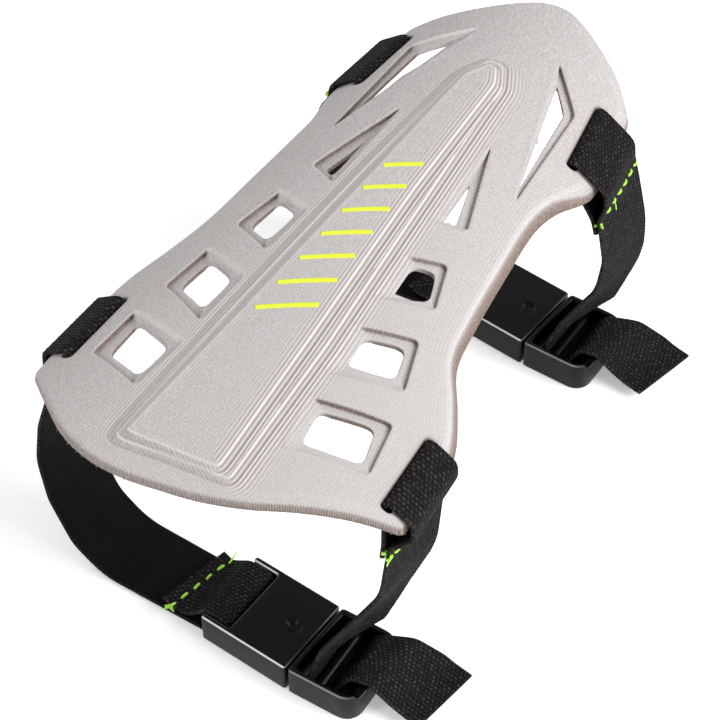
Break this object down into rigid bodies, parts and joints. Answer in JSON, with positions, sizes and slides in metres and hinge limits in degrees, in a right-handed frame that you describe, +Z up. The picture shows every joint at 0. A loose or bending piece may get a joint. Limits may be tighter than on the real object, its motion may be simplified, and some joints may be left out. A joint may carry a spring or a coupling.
{
  "type": "archery arm guard",
  "caption": "Curved foam forearm guard with a raised central panel and vent windows, held by elastic webbing straps that close in plastic buckles under the arm.",
  "frame": {"origin": "on the table, under the middle of the part's bounding box", "axes": "+Z up from the table to the shell, +Y along the forearm from the elbow end to the wrist end, +X across towards the strap tails"},
  "size_m": [0.1092, 0.1776, 0.0872],
  "materials": {
    "knit_foam": "fine matte knit over foam",
    "webbing": "woven elastic, matte",
    "buckle_plastic": "satin"
  },
  "bodies": {
    "root": {"guard_shell": "knit_foam", "elbow_strap_sewn": "webbing", "elbow_strap_tail": "webbing", "elbow_buckle_socket": "buckle_plastic", "elbow_buckle_adjuster": "buckle_plastic", "wrist_strap_sewn": "webbing", "wrist_strap_tail": "webbing", "wrist_buckle_socket": "buckle_plastic", "wrist_buckle_adjuster": "buckle_plastic"}
  },
  "joints": []
}
